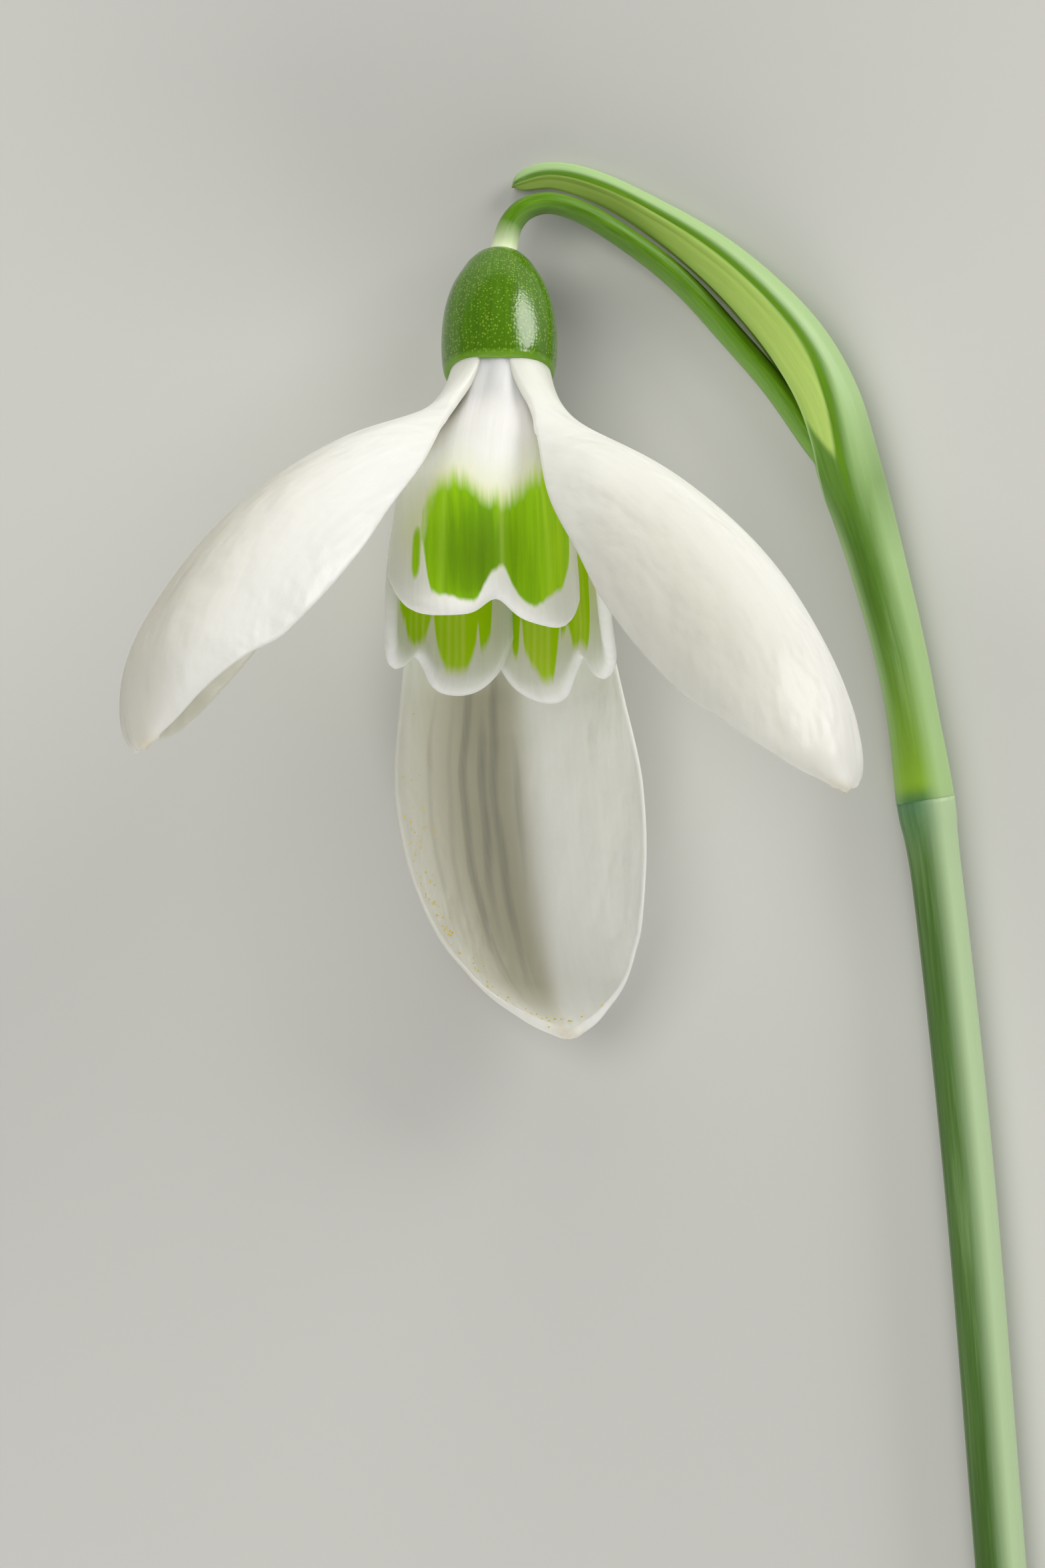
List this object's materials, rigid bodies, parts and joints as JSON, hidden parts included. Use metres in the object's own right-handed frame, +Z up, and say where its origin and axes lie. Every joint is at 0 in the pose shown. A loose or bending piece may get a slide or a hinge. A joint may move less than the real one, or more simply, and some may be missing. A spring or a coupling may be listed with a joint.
{
  "type": "giant snowdrop flower",
  "caption": "Giant snowdrop picked as a single cut flower, lying down: stem, sheath, arched stalk, ovary, spoon-shaped outer petals and a bell of green-marked inner petals.",
  "frame": {"origin": "on the surface that the flower lies on, under the middle of the whole flower's box", "axes": "+X across the flower towards the stem, +Y from the cut end of the stem to the arch over the bloom, +Z up from the surface"},
  "size_m": [0.0412, 0.0824, 0.0282],
  "materials": {
    "stem_green": "matt, with a bluish waxy bloom and fine lengthwise lines",
    "sheath_green": "satin, green keels with a thin yellow-green membrane between them",
    "stalk_green": "satin, paling to whitish green by the ovary",
    "ovary_green": "satin waxy, with fine rows of pale dots",
    "petal_white": "soft satin white, slightly translucent, with fine lengthwise veins",
    "inner_petal_white": "soft satin white with yellow-green marks",
    "anther_orange": "matt, grainy with pollen",
    "style_green": "satin"
  },
  "bodies": {
    "root": {"stem": "stem_green", "spathe": "sheath_green", "pedicel": "stalk_green", "ovary": "ovary_green", "outer_tepal_left": "petal_white", "outer_tepal_right": "petal_white", "outer_tepal_back": "petal_white", "inner_tepal_front": "inner_petal_white", "inner_tepal_back_left": "inner_petal_white", "inner_tepal_back_right": "inner_petal_white", "stamens": "anther_orange", "style": "style_green"}
  },
  "joints": []
}
